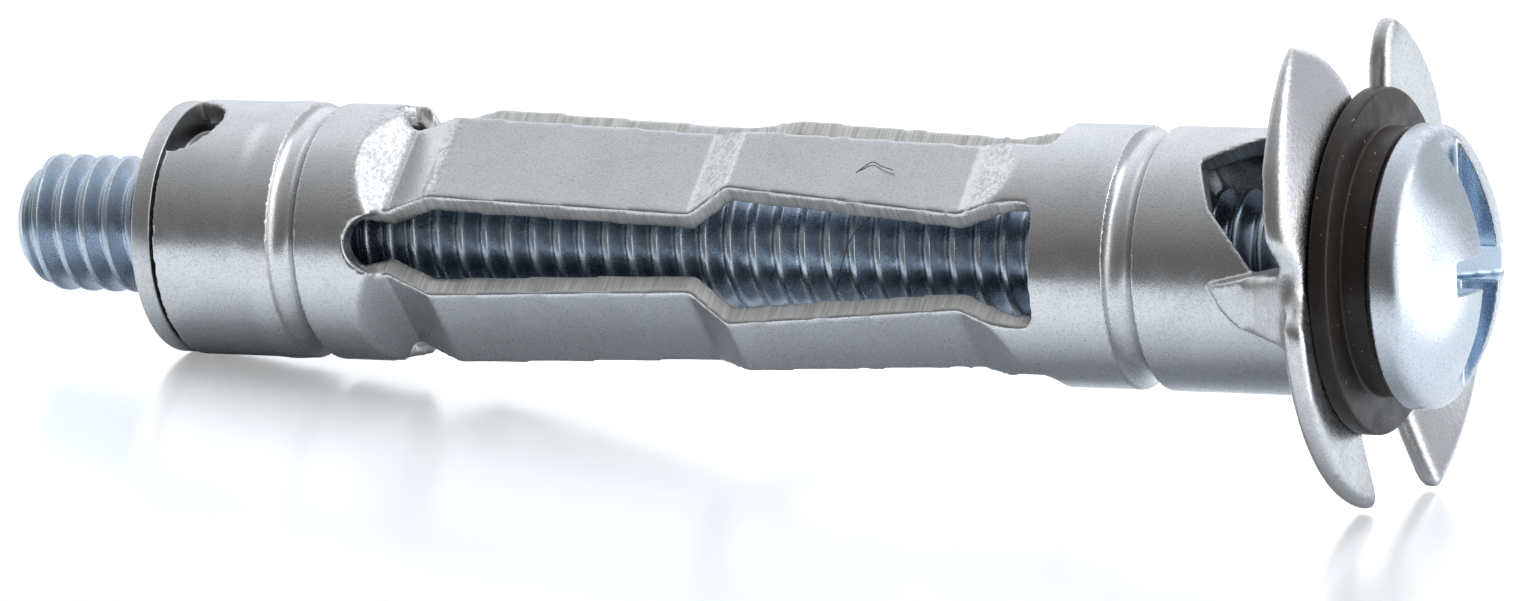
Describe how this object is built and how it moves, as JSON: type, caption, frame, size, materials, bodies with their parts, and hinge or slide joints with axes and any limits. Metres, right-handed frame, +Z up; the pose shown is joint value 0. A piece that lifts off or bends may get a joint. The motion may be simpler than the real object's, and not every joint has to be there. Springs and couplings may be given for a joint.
{
  "type": "hollow wall anchor",
  "caption": "Metal cavity anchor for thin walls: a slit sleeve with folding legs and a lobed flange, a fixed nut, a pan head machine screw and a collared washer.",
  "frame": {"origin": "centre of the footprint of the lying anchor, at the surface it rests on", "axes": "+X runs from the screw's tip to its head, the axis rising 4.8 degrees towards the head; +Z is up; -Y is the front side"},
  "size_m": [0.0468, 0.0133, 0.0138],
  "materials": {
    "sleeve_zinc": "bright zinc plated",
    "nut_zinc": "bright zinc plated",
    "screw_zinc": "blue passivated zinc",
    "washer_plastic": "dark brown moulded plastic"
  },
  "bodies": {
    "anchor": {"sleeve": "sleeve_zinc", "nut": "nut_zinc"},
    "collar": {"washer": "washer_plastic"},
    "screw": {"screw": "screw_zinc"}
  },
  "joints": [
    {"name": "screw_travel", "type": "slide", "parent": "anchor", "child": "collar", "axis": [0.9965, 0, 0.0841], "range_m": [0, 0.00873]},
    {"name": "screw_turn", "type": "hinge", "parent": "collar", "child": "screw", "pos_m": [0.02104, -0.00055, 0.0071], "axis": [0.9965, 0, 0.0841], "range_deg": [0, 3960]}
  ],
  "couplings": [
    {"joint": "screw_turn", "follows": "screw_travel", "rad_per_m": 7915.8}
  ]
}
